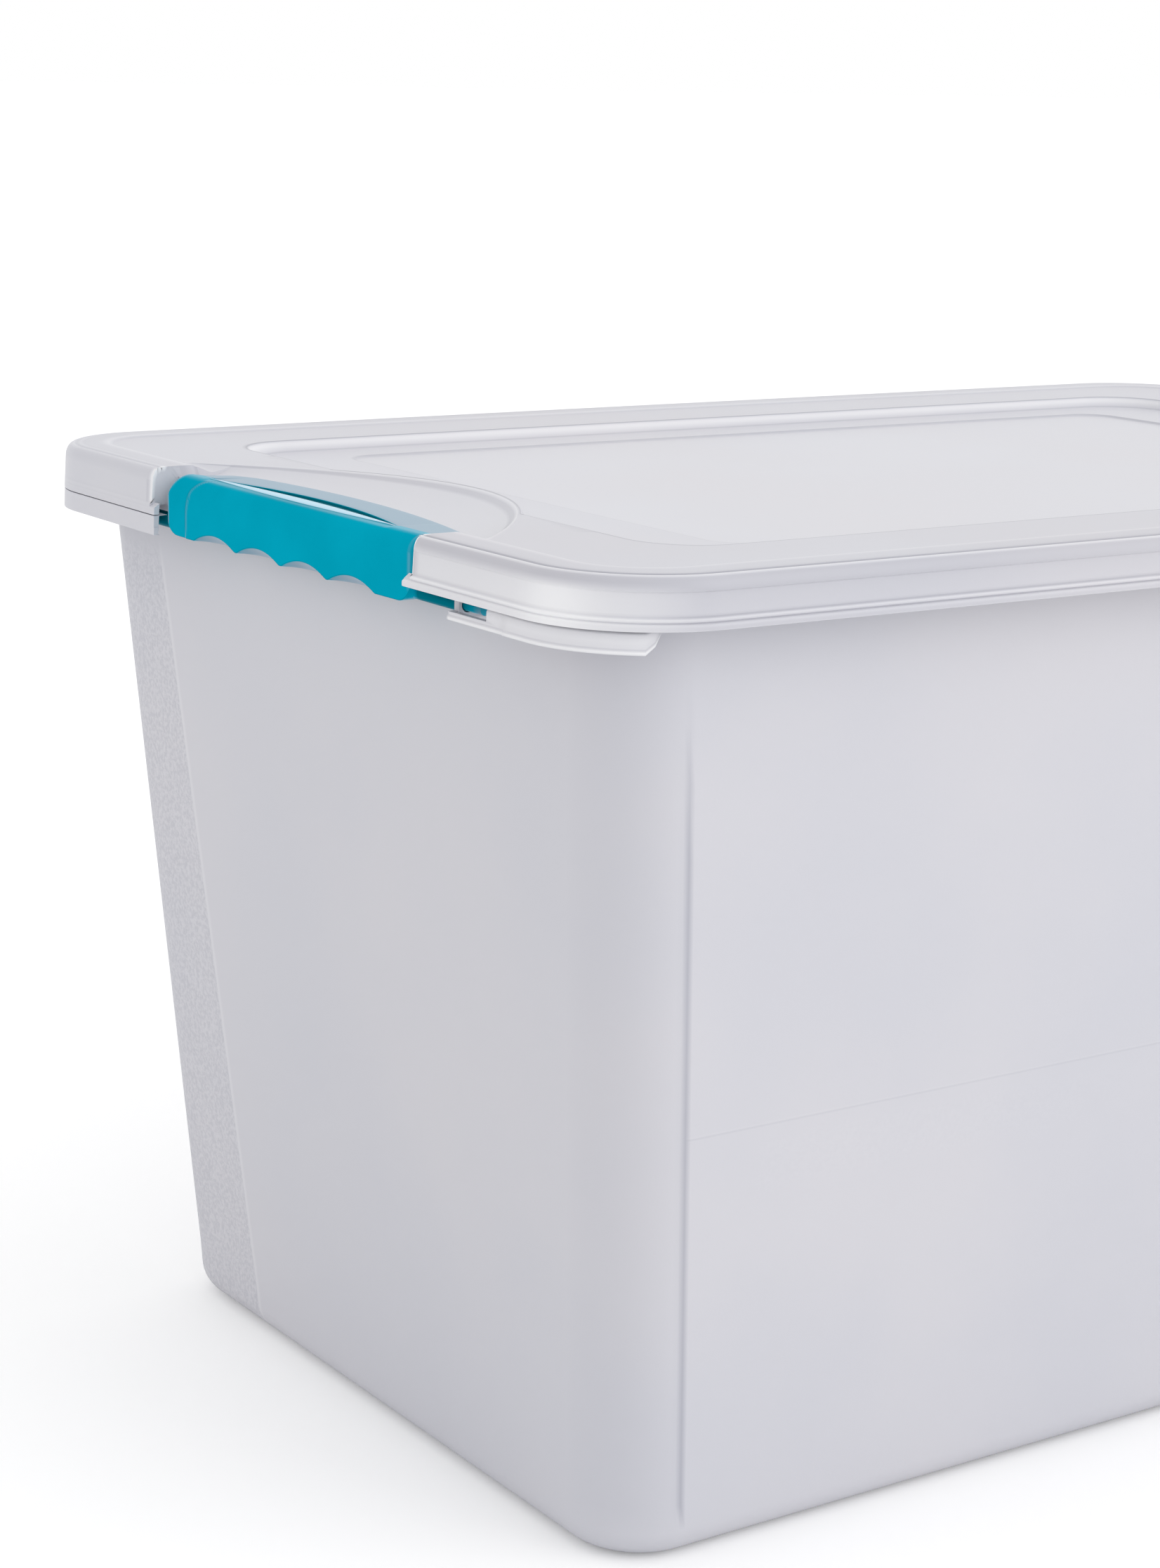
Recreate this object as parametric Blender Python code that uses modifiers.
"""Clear latching storage tote: tub, lid and two end latches.

Metres, +Z up. Origin at the centre of the tub's underside, +X along the
length. The dimensions below are in millimetres and are scaled by MM where
geometry is made.

Most places are given from the lid's top edge line: u is the distance inward
of it at an end of the tote, z the height above the lid's top. In plan, an
inset is the distance inward of the edge line all the way round.
"""
import math

import bmesh
import bpy
from mathutils import Matrix, Vector

MM = 0.001
TOTE = "latching_storage_tote"
ENDS = (-1, 1)            # the -X and +X ends
SIDES = (-1, 1)           # towards -Y and +Y

# ------------------------------------------------------- shared dimensions
HEIGHT = 346.0            # tub underside to the top of the lid
EDGE_X = 296.0            # half length to the lid's top edge line
EDGE_Y = 197.5            # half width to the lid's top edge line
EDGE_R = 40.0             # plan radius of the edge line's corners
BOW_X = 1.9               # outward bow in the middle of an end
BOW_Y = 2.0               # outward bow in the middle of a long side
WALL = 2.2                # wall thickness of tub and lid

HINGE_U = 4.5             # latch pivot
HINGE_Z = -20.0
EAR_Y0, EAR_Y1 = 110.5, 113.5     # inner and outer faces of an ear
SCOOP_Y = 107.0           # half width of the lid's thumb scoop

# Points round a plan outline
CORNER_SEGS = 6
END_STATIONS = [-108.0, -92.8, -92.0, -76.0, -61.0, -45.0, -30.0, -15.0,
                0.0, 15.0, 30.0, 45.0, 61.0, 76.0, 92.0, 92.8, 108.0]   # y
SIDE_FRACTIONS = [0.0, 0.25, 0.5, 0.75]     # share of the straight run
ROD_SEGS = 24


# ------------------------------------------------------- scene and objects
def clear_scene():
    for obj in list(bpy.data.objects):
        bpy.data.objects.remove(obj, do_unlink=True)


def add_collection(name):
    col = bpy.data.collections.new(name)
    bpy.context.scene.collection.children.link(col)
    return col


def to_mesh(name, bm):
    mesh = bpy.data.meshes.new(name)
    bm.to_mesh(mesh)
    bm.free()
    return mesh


def add_object(name, mesh, col, mat=None):
    obj = bpy.data.objects.new(name, mesh)
    col.objects.link(obj)
    if mat is not None:
        mesh.materials.clear()
        mesh.materials.append(mat)
    return obj


def add_helper(name, bm, tools):
    """A hidden solid that is only used to shape the visible pieces."""
    obj = add_object(name, to_mesh(name, bm), tools)
    obj.hide_render = True
    obj.display_type = 'WIRE'
    return obj


def add_boolean(target, operation, name, bm, tools):
    """Cut a new helper solid from the target, or join it on."""
    helper = add_helper(name, bm, tools)
    mod = target.modifiers.new(operation.lower(), 'BOOLEAN')
    mod.operation = operation
    mod.solver = 'EXACT'
    mod.object = helper


def thicken(obj):
    """Give an open sheet its wall, on the back of its faces."""
    mod = obj.modifiers.new("wall", 'SOLIDIFY')
    mod.thickness = WALL * MM
    mod.offset = -1.0
    mod.use_even_offset = True
    mod.use_rim = True


def baked_mesh(obj):
    """The mesh of an object with its modifiers applied."""
    deps = bpy.context.evaluated_depsgraph_get()
    deps.update()
    return bpy.data.meshes.new_from_object(obj.evaluated_get(deps),
                                           depsgraph=deps)


# --------------------------------------------------------------- materials
def material(name, colour, roughness, alpha=1.0, transmission=0.0):
    mat = bpy.data.materials.new(name)
    mat.use_nodes = True
    inputs = mat.node_tree.nodes["Principled BSDF"].inputs
    inputs["Base Color"].default_value = (*colour, 1.0)
    inputs["Roughness"].default_value = roughness
    inputs["Metallic"].default_value = 0.0
    inputs["Alpha"].default_value = alpha
    inputs["Transmission Weight"].default_value = transmission
    return mat


def tub_material():
    return material("clear_frosted", colour=(0.80, 0.80, 0.84),
                    roughness=0.35, alpha=0.45, transmission=0.6)


def lid_material():
    return material("clear_lid", colour=(0.82, 0.82, 0.86),
                    roughness=0.32, alpha=0.5, transmission=0.6)


def latch_material(suffix):
    return material("latch_blue_green_" + suffix, colour=(0.0, 0.35, 0.52),
                    roughness=0.32)


# ------------------------------------------------------------ basic solids
def box(x_range, y_range, z_range):
    """A box between pairs of limits, given in either order."""
    ranges = (x_range, y_range, z_range)
    bm = bmesh.new()
    bmesh.ops.create_cube(bm, size=1.0)
    bmesh.ops.scale(bm, verts=bm.verts,
                    vec=[abs(b - a) * MM for a, b in ranges])
    bmesh.ops.translate(bm, verts=bm.verts,
                        vec=[(a + b) * 0.5 * MM for a, b in ranges])
    return bm


def end_box(end, u_range, y_range, z_range):
    """A box at one end of the tote, placed by u and z."""
    return box([end * (EDGE_X - u) for u in u_range], y_range,
               [HEIGHT + z for z in z_range])


def cylinder(radius, depth, segments, turn, centre):
    """A cylinder that starts along Z and is turned about its middle."""
    bm = bmesh.new()
    bmesh.ops.create_cone(bm, cap_ends=True, segments=segments,
                          radius1=radius * MM, radius2=radius * MM,
                          depth=depth * MM)
    bmesh.ops.rotate(bm, verts=bm.verts, cent=(0, 0, 0), matrix=turn)
    bmesh.ops.translate(bm, verts=bm.verts, vec=[c * MM for c in centre])
    return bm


def rod(radius, y0, y1, x=0.0, z=0.0):
    """A cylinder along Y."""
    return cylinder(radius, abs(y1 - y0), ROD_SEGS,
                    turn=Matrix.Rotation(math.radians(90), 3, 'X'),
                    centre=(x, (y0 + y1) * 0.5, z))


def prism(points, extent, axis):
    """A flat outline pushed along an axis. Its points hold the other two
    coordinates, in XYZ order."""
    index = 'XYZ'.index(axis)
    bm = bmesh.new()
    verts = []
    for a, b in points:
        position = [a * MM, b * MM]
        position.insert(index, extent[0] * MM)
        verts.append(bm.verts.new(position))
    push = Vector()
    push[index] = (extent[1] - extent[0]) * MM
    face = bm.faces.new(verts)
    extruded = bmesh.ops.extrude_face_region(bm, geom=[face])
    moved = [g for g in extruded["geom"] if isinstance(g, bmesh.types.BMVert)]
    bmesh.ops.translate(bm, vec=push, verts=moved)
    bmesh.ops.recalc_face_normals(bm, faces=bm.faces)
    return bm


# ------------------------------------------------------- curves and sheets
def arc_points(centre, radius, start, sweep, steps):
    """Points on an arc, with angles in degrees."""
    angles = [math.radians(start + sweep * i / steps)
              for i in range(steps + 1)]
    return [(centre[0] + radius * math.cos(angle),
             centre[1] + radius * math.sin(angle)) for angle in angles]


def quarter_round(radius, steps):
    """Offsets (along, across) from the start of a quarter circle that sets
    off along its tangent."""
    angles = [math.radians(90.0 * i / steps) for i in range(steps + 1)]
    return [(radius * math.sin(angle), radius * (1.0 - math.cos(angle)))
            for angle in angles]


def lerp(a, b, share):
    return a + (b - a) * share


def smooth(a, b, value):
    """Smooth step from 0 at a to 1 at b."""
    k = min(1.0, max(0.0, (value - a) / (b - a)))
    return k * k * (3.0 - 2.0 * k)


def outline(inset_end, inset_side, radius, bow):
    """One rounded rectangle, counter-clockwise, as (x, y, from_end).
    from_end is 0 along an end, 1 along a side, and between them in a
    corner, so that a ring can change its height on the way round."""
    half_x, half_y = EDGE_X - inset_end, EDGE_Y - inset_side
    straight_x, straight_y = half_x - radius, half_y - radius
    points = []
    for turn in range(4):
        sign_x = 1.0 if turn in (0, 3) else -1.0
        sign_y = 1.0 if turn in (0, 1) else -1.0
        starts_at_end = turn in (0, 2)
        # the straight run that comes before this corner
        if starts_at_end:
            points += [(sign_x * half_x, sign_x * y, 0.0)
                       for y in [-straight_y] + END_STATIONS]
        else:
            points += [(sign_y * (straight_x - 2.0 * straight_x * f),
                        sign_y * half_y, 1.0) for f in SIDE_FRACTIONS]
        for i in range(CORNER_SEGS):
            share = i / CORNER_SEGS
            angle = math.radians(90.0 * (turn + share))
            points.append((sign_x * straight_x + radius * math.cos(angle),
                           sign_y * straight_y + radius * math.sin(angle),
                           share if starts_at_end else 1.0 - share))
    bowed = []
    for x, y, from_end in points:
        bow_x = bow * BOW_X * max(0.0, 1.0 - (y / EDGE_Y) ** 2)
        bow_y = bow * BOW_Y * max(0.0, 1.0 - (x / EDGE_X) ** 2)
        bowed.append((x + bow_x * x / EDGE_X, y + bow_y * y / EDGE_Y,
                      from_end))
    return bowed


def edge_outline(inset, bow):
    """An outline parallel to the lid's edge line."""
    return outline(inset, inset, EDGE_R - inset, bow)


def level(plan, z):
    """Lay a plan outline at one height."""
    return [(x, y, HEIGHT + z) for x, y, _ in plan]


def sheet(rings):
    """Skin a list of rings into one open sheet, with a flat face across the
    first ring."""
    bm = bmesh.new()
    loops = [[bm.verts.new([c * MM for c in point]) for point in ring]
             for ring in rings]
    count = len(loops[0])
    bm.faces.new(loops[0])
    for first, second in zip(loops, loops[1:]):
        for i in range(count):
            j = (i + 1) % count
            bm.faces.new((first[i], second[i], second[j], first[j]))
    return bm


# --------------------------------------------------------------------- tub
DRAFT = math.tan(math.radians(4.4))
WALL_INSET = 15.4         # inside of the tub wall, carried up to z = 0
WALL_RINGS_Z = (-180.0, -30.0)
TUB_R = 27.0              # inside radius of the tub's upright corners
FLOOR_R = 9.0             # radius between floor and walls

RIM_Z = -2.8              # rim top
RIM_IN_R = 4.0            # rounding of the rim's inner edge
RIM_OUT_R = 3.0           # rounding of its outer edge
RIM_BOW = 0.4             # share of the bow reached on the inner rounding
SKIRT_INSET = 0.4         # rim skirt
RIM_SKIRT = -24.5         # bottom of the rim skirt, ends and corners
RIM_SIDE = -15.5          # the same on the long sides
DEEP_SHARE = 0.72         # from_end at which the deep skirt stops
# z at the ends, z on the sides, outward flare at the ends
SKIRT_RINGS = ((-17.4, -13.2, 0.0),
               (-18.6, -14.2, 1.6),
               (RIM_SKIRT, RIM_SIDE, 1.8))

SILL_Z = -21.7            # top of the sill left across the relief's ends
# Cuts in the rim at each end: name, u range, half width, z range
RIM_CUTS = (
    ("relief_cut", (-8.0, 10.6), 112.0, (-40.0, 5.0)),    # through the sill
    ("sill_cut", (-8.4, 10.3), 134.0, (SILL_Z, 6.0)),
    ("lip_cut", (-8.0, 21.0), SCOOP_Y, (-8.0, 5.0)),      # under the lip
)

EAR_TOP = -4.2
EAR_FRONT = HINGE_U - 3.4     # u of the ear's outer edge
EAR_FOOT_U = -0.8             # u that the foot reaches out to
EAR_FOOT_TOP = SILL_Z - 0.2
EAR_BOTTOM = RIM_SKIRT + 0.3
BORE_R = 2.4
BORE_PAST = 2.0               # how far the bore cutter passes the ear's faces


def wall_inset(z):
    """Inset of the drafted wall's inside."""
    return WALL_INSET - DRAFT * z


def tub_rings():
    """The inside from the floor up, over the rim and down its skirt."""
    rings = []
    floor = WALL - HEIGHT
    for out, up in quarter_round(FLOOR_R, 3):
        corner = FLOOR_R - out
        inset = wall_inset(floor + up) + corner
        rings.append(level(outline(inset, inset, TUB_R - corner, 0.0),
                           floor + up))
    for z in (*WALL_RINGS_Z, RIM_Z - RIM_IN_R):
        inset = wall_inset(z)
        rings.append(level(outline(inset, inset, TUB_R, 0.0), z))
    # the first point of this rounding is the wall's last ring
    steps = 3
    for i, (up, out) in enumerate(quarter_round(RIM_IN_R, steps)[1:], 1):
        inset = wall_inset(RIM_Z) - out
        rings.append(level(
            outline(inset, inset, TUB_R + out, RIM_BOW * i / steps),
            RIM_Z - RIM_IN_R + up))
    for out, down in quarter_round(RIM_OUT_R, 2):
        rings.append(level(edge_outline(SKIRT_INSET + RIM_OUT_R - out, 1.0),
                           RIM_Z - down))
    for z_end, z_side, flare in SKIRT_RINGS:
        shallow = level(edge_outline(SKIRT_INSET, 1.0), z_side)
        wide = edge_outline(SKIRT_INSET - flare, 1.0)
        deep = level(wide, z_end)
        rings.append([deep[i] if wide[i][2] < DEEP_SHARE else shallow[i]
                      for i in range(len(wide))])
    return rings


def ear_outline(end):
    """An ear seen along the pin: it hangs from the rim in front of the wall,
    and its foot reaches out to the sill."""
    wall = WALL_INSET - WALL * 0.5
    points = ((wall, EAR_TOP), (EAR_FRONT, EAR_TOP),
              (EAR_FRONT, EAR_FOOT_TOP), (EAR_FOOT_U, EAR_FOOT_TOP),
              (EAR_FOOT_U, EAR_BOTTOM), (wall - DRAFT * HINGE_Z, EAR_BOTTOM))
    return [(end * (EDGE_X - u), HEIGHT + z) for u, z in points]


def make_tub(col, tools):
    tub = add_object("tub", to_mesh("tub", sheet(tub_rings())), col,
                     tub_material())
    thicken(tub)
    for end in ENDS:
        for name, u_range, half, z_range in RIM_CUTS:
            add_boolean(tub, 'DIFFERENCE', f"{name}_{end}",
                        end_box(end, u_range, (-half, half), z_range), tools)
        # the ears that carry the latch's pins, then their bores
        for side in SIDES:
            extent = sorted((side * EAR_Y0, side * EAR_Y1))
            add_boolean(tub, 'UNION', f"ear_{end}_{side}",
                        prism(ear_outline(end), extent, 'Y'), tools)
        for side in SIDES:
            bore = rod(BORE_R, side * (EAR_Y0 - BORE_PAST),
                       side * (EAR_Y1 + BORE_PAST),
                       x=end * (EDGE_X - HINGE_U), z=HEIGHT + HINGE_Z)
            add_boolean(tub, 'DIFFERENCE', f"bore_{end}_{side}", bore, tools)


# --------------------------------------------------------------------- lid
PANEL_END, PANEL_SIDE = 96.0, 69.5    # insets of the recess's inner panel
PANEL_R = 14.0
PANEL_Z = -6.0
PANEL_STEP = 1.5          # plan width of the slope down to the panel
RECESS_END, RECESS_SIDE = 56.5, 47.5  # insets of the recess's top edge
RECESS_R = 25.0
RECESS_Z = -5.0
RECESS_TOP = -1.2         # z of the recess's top edge
RECESS_SLOPE = 3.2        # plan width of the recess's side

DECK_INSET = 21.5         # outer edge of the deck round the recess
DECK_Z = -0.8
DECK_BOW = 0.5
DECK_SHARES = (0.72, 0.4, 0.0)    # rings, as a share of the way to the recess
RIDGE_IN = 14.0           # inner edge of the raised border's top
# inset, z and bow of the rings from the border's foot across its top
RIDGE_RINGS = ((16.5, DECK_Z, 0.8),
               (RIDGE_IN, 0.0, 1.0),
               (6.6, 0.0, 1.0))
LID_EDGE_INSET = 1.0      # where the top edge's rounding starts
LID_EDGE_R = 3.5
# inset and z down the skirt and its bottom bead
LID_SKIRT_RINGS = ((-2.8, -13.8),
                   (-3.6, -14.6),
                   (-3.6, -17.0))

PAD = 4.0                 # how far the lid drops under the latch's lip
PAD_FADE = (26.0, 40.0)   # u range over which the pad rises back
SCOOP_U = 77.0            # inner end of the thumb scoop
SCOOP_K = 0.00545         # its outline is u = SCOOP_U - SCOOP_K * y * y
SCOOP_D = 7.0

NOTCH_Y = 92.4            # half width of the latch notch
NOTCH_U = 7.5             # how far the notch cuts inward
BEAD_Y = 88.5             # the skirt's bottom bead reaches further in
# Cuts at each end: name, u range, half width, z range
LID_CUTS = (
    ("notch_cut", (-9.0, NOTCH_U), NOTCH_Y, (-14.3, 5.0)),
    ("mouth_cut", (-9.6, NOTCH_U), BEAD_Y, (-30.0, 4.0)),
)
WEB_U = (-1.5, 7.3)       # side wall of the notch, behind the skirt
WEB_Y = (91.0, NOTCH_Y + 2.0)
WEB_Z = (-13.6, -1.1)


def scoop_edge(y):
    """u of the thumb scoop's inner outline."""
    return SCOOP_U - SCOOP_K * y * y


def lid_drop(u, y):
    """How far the lid's surface drops at a place: the pad under the latch's
    lip, then the thumb scoop behind it."""
    edge = scoop_edge(y)
    if u >= edge:
        return 0.0
    drop = PAD * (1.0 - smooth(*PAD_FADE, u)) if abs(y) < NOTCH_Y else 0.0
    if abs(y) < SCOOP_Y and u > RIDGE_IN:
        fade = 1.0 - ((u - RIDGE_IN) / (edge - RIDGE_IN)) ** 3
        depth = SCOOP_D * (1.0 - (y / SCOOP_Y) ** 2) ** 0.7
        depth *= fade * smooth(RIDGE_IN, DECK_INSET, u)
        drop = max(depth, drop * fade)
    return drop


def lid_ring(plan, z, tongue=0.0, sinks=False):
    """One ring of the lid. tongue is the share by which its ends are drawn
    inward round the scoop; a ring that sinks follows lid_drop."""
    points = []
    for x, y, _ in plan:
        reach = max(0.0, scoop_edge(y) - RECESS_END)
        x -= math.copysign(reach * tongue, x)
        drop = lid_drop(EDGE_X - abs(x), y) if sinks else 0.0
        points.append((x, y, HEIGHT + z - drop))
    return points


def lid_rings():
    """From the inner panel outward, over the recess edge and the deck."""
    rings = [
        lid_ring(outline(PANEL_END + PANEL_STEP, PANEL_SIDE + PANEL_STEP,
                         PANEL_R, 0.0), PANEL_Z),
        lid_ring(outline(PANEL_END, PANEL_SIDE, PANEL_R, 0.0), RECESS_Z),
        lid_ring(outline(RECESS_END + RECESS_SLOPE,
                         RECESS_SIDE + RECESS_SLOPE, RECESS_R, 0.0),
                 RECESS_Z, tongue=1.0),
        lid_ring(outline(RECESS_END, RECESS_SIDE, RECESS_R, 0.0),
                 RECESS_TOP, tongue=1.0),
    ]
    for share in DECK_SHARES:
        plan = outline(lerp(DECK_INSET, RECESS_END, share),
                       lerp(DECK_INSET, RECESS_SIDE, share),
                       lerp(EDGE_R - DECK_INSET, RECESS_R, share),
                       DECK_BOW * (1.0 - share))
        rings.append(lid_ring(plan, lerp(DECK_Z, RECESS_TOP, share),
                              tongue=share, sinks=True))
    for inset, z, bow in RIDGE_RINGS:
        rings.append(lid_ring(edge_outline(inset, bow), z, sinks=True))
    for out, down in quarter_round(LID_EDGE_R, 3):
        rings.append(lid_ring(edge_outline(LID_EDGE_INSET - out, 1.0), -down))
    for inset, z in LID_SKIRT_RINGS:
        rings.append(lid_ring(edge_outline(inset, 1.0), z))
    return rings


def make_lid(col, tools):
    lid = add_object("lid", to_mesh("lid", sheet(lid_rings())), col,
                     lid_material())
    thicken(lid)
    for end in ENDS:
        for side in SIDES:
            web = end_box(end, WEB_U, [side * y for y in WEB_Y], WEB_Z)
            add_boolean(lid, 'UNION', f"notch_web_{end}_{side}", web, tools)
        # the notch, and its narrower mouth between the ends of the bead
        for name, u_range, half, z_range in LID_CUTS:
            add_boolean(lid, 'DIFFERENCE', f"{name}_{end}",
                        end_box(end, u_range, (-half, half), z_range), tools)


# ------------------------------------------------------------------- latch
# Built about its own pin, so HINGE_U and HINGE_Z are taken off u and z.
FACE_U = -1.2             # latch face
FACE_Y = 86.6             # half length of the face
FACE_CHAMFER = 0.6        # at the bottom of the face
LATCH_BOTTOM = -23.5 - HINGE_Z    # above the pin's centre
LATCH_T = 2.4
TOP_R = 6.0               # rounding between face and top
GRIP_TOP = -1.3
GRIP_ABOVE_PIN = GRIP_TOP - HINGE_Z
RAIL_U = 6.4              # inner side of the bottom rail
RAIL_TOP = HINGE_Z + 3.4
PLATE_U = 12.0            # inner edge of the top plate
CORNER_R = 8.3            # bottom corners of the face
CUT_PAST = 2.0            # how far the corner cutter passes the body
CORNER_CUT_X = 8.0        # half depth of the corner cutter

LATCH_Y = 91.2            # half length of the lip
LIP_BACK = 5.6            # u of the lip's straight edge
LIP_CHAMFER = 1.5
LIP_MID, LIP_TIP = 32.0, 16.5     # u of its bowed edge, middle and tips
LIP_TOP = -1.75           # the lip lies a little below the grip's top
LIP_T = 2.2               # lip underside, below the grip's top

GROOVE_Y = 66.0
GROOVE_U = 7.0            # u of the groove's tips
GROOVE_NEAR, GROOVE_FAR = 3.6, 9.3    # inward bow of its two edges
GROOVE_D = 1.35
GROOVE_CUT_TOP = 3.0      # cutter top, above the grip's top
BOW_STEPS = 12            # steps along a bowed edge of lip or groove

SCALLOPS = 4
SCALLOP_PITCH = 32.5
SCALLOP_DEPTH = 3.2
SCALLOP_LEAN = math.radians(40.0)
SCALLOP_CUT_L = 18.0
SCALLOP_SEGS = 96

# y and half thickness: one rib at each edge of a scallop, one near each end
RIBS = ((-85.0, 1.1), *((n * SCALLOP_PITCH, 0.9) for n in range(-2, 3)),
        (85.0, 1.1))
RIB_X = (FACE_U + 1.0 - HINGE_U, 6.7 - HINGE_U)
RIB_Z = (1.0, GRIP_ABOVE_PIN - 2.0)

BAR_R = 2.8
BAR_END = EAR_Y0 - 0.4    # the bar stops just short of the ears
PIN_R = 2.0
PIN_END = 125.0


def latch_profile():
    """The latch's C section, seen along the pin: grip face, rounded top
    edge, top plate, and the thick rail at the bottom."""
    bottom = LATCH_BOTTOM + HINGE_Z
    round_centre = (FACE_U + TOP_R, GRIP_TOP - TOP_R)
    points = [(FACE_U + FACE_CHAMFER, bottom),
              (FACE_U, bottom + FACE_CHAMFER),
              *arc_points(round_centre, TOP_R, 180.0, -90.0, 5),
              (RAIL_U, GRIP_TOP), (PLATE_U, LIP_TOP + 0.2),
              (PLATE_U, GRIP_TOP - LATCH_T),
              *arc_points(round_centre, TOP_R - LATCH_T, 90.0, 90.0, 3),
              (FACE_U + LATCH_T, RAIL_TOP), (RAIL_U, RAIL_TOP),
              (RAIL_U, bottom)]
    return [(u - HINGE_U, z - HINGE_Z) for u, z in points]


def bowed_edge(tip_u, bow, half):
    """A parabolic edge in plan, from -half to half, bowed inward."""
    ys = [-half + 2.0 * half * i / BOW_STEPS for i in range(BOW_STEPS + 1)]
    return [(tip_u + bow * (1.0 - (y / half) ** 2) - HINGE_U, y) for y in ys]


def lip_outline():
    """The crescent lip in plan."""
    back = LIP_BACK - HINGE_U
    return [(back + LIP_CHAMFER, -LATCH_Y),
            *bowed_edge(LIP_TIP, LIP_MID - LIP_TIP, LATCH_Y),
            (back + LIP_CHAMFER, LATCH_Y),
            (back, LATCH_Y - LIP_CHAMFER), (back, LIP_CHAMFER - LATCH_Y)]


def groove_outline():
    """The crescent groove between the grip and the lip, in plan. Its two
    edges share their tips."""
    near = bowed_edge(GROOVE_U, GROOVE_NEAR, GROOVE_Y)
    far = bowed_edge(GROOVE_U, GROOVE_FAR, GROOVE_Y)
    return near + far[-2:0:-1]


def scallop(y):
    """A round finger scallop cutter that leans down and back from the
    face."""
    deep = SCALLOP_DEPTH * math.cos(SCALLOP_LEAN)
    radius = (SCALLOP_PITCH ** 2 / 4 + deep ** 2) / (2.0 * deep)
    return cylinder(
        radius, SCALLOP_CUT_L, SCALLOP_SEGS,
        turn=Matrix.Rotation(math.radians(90) + SCALLOP_LEAN, 3, 'Y'),
        centre=(FACE_U - HINGE_U - radius * math.sin(SCALLOP_LEAN), y,
                LATCH_BOTTOM + SCALLOP_DEPTH
                - radius * math.cos(SCALLOP_LEAN)))


def corner_cutter(side):
    """What lies outside a rounded bottom corner of the face."""
    points = [(FACE_Y + CUT_PAST, LATCH_BOTTOM - CUT_PAST),
              (FACE_Y + CUT_PAST, LATCH_BOTTOM + CORNER_R),
              *arc_points((FACE_Y - CORNER_R, LATCH_BOTTOM + CORNER_R),
                          CORNER_R, 0.0, -90.0, 5),
              (FACE_Y - CORNER_R, LATCH_BOTTOM - CUT_PAST)]
    return prism([(side * y, z) for y, z in points],
                 (-CORNER_CUT_X, CORNER_CUT_X), 'X')


def make_latch_mesh(tools):
    """One latch about its own pin, +X towards the tub."""
    body = add_helper("latch_body", prism(
        latch_profile(), (-FACE_Y, FACE_Y), 'Y'), tools)

    def join(name, bm):
        add_boolean(body, 'UNION', name, bm, tools)

    def cut(name, bm):
        add_boolean(body, 'DIFFERENCE', name, bm, tools)

    top = GRIP_ABOVE_PIN
    join("latch_lip", prism(
        lip_outline(), (top - LIP_T, LIP_TOP - HINGE_Z), 'Z'))
    for i, (y, half) in enumerate(RIBS):
        join(f"latch_rib_{i}", box(RIB_X, (y - half, y + half), RIB_Z))
    cut("latch_groove", prism(
        groove_outline(), (top - GROOVE_D, top + GROOVE_CUT_TOP), 'Z'))
    for i in range(SCALLOPS):
        y = (i - (SCALLOPS - 1) / 2) * SCALLOP_PITCH
        cut(f"latch_scallop_{i}", scallop(y))
    for side in SIDES:
        cut(f"latch_corner_{side}", corner_cutter(side))
    join("latch_bar", rod(BAR_R, -BAR_END, BAR_END))
    join("latch_pin", rod(PIN_R, -PIN_END, PIN_END))
    return baked_mesh(body)


def make_latches(col, tools):
    """The same latch at both ends, the +X one turned half round."""
    mesh = make_latch_mesh(tools)
    for name, latch_mesh, suffix, end, turn in (
            ("latch_left", mesh, "a", -1, 0.0),
            ("latch_right", mesh.copy(), "b", 1, math.pi)):
        latch = add_object(name, latch_mesh, col, latch_material(suffix))
        latch.location = (end * (EDGE_X - HINGE_U) * MM, 0.0,
                          (HEIGHT + HINGE_Z) * MM)
        latch.rotation_euler = (0.0, 0.0, turn)


# -------------------------------------------------------------------- main
def build():
    clear_scene()
    parts = add_collection(TOTE)
    tools = add_collection("cutters")
    make_tub(parts, tools)
    make_lid(parts, tools)
    make_latches(parts, tools)
    for obj in parts.objects:
        obj.data.shade_smooth()
        obj.data.set_sharp_from_angle(angle=math.radians(30))


build()
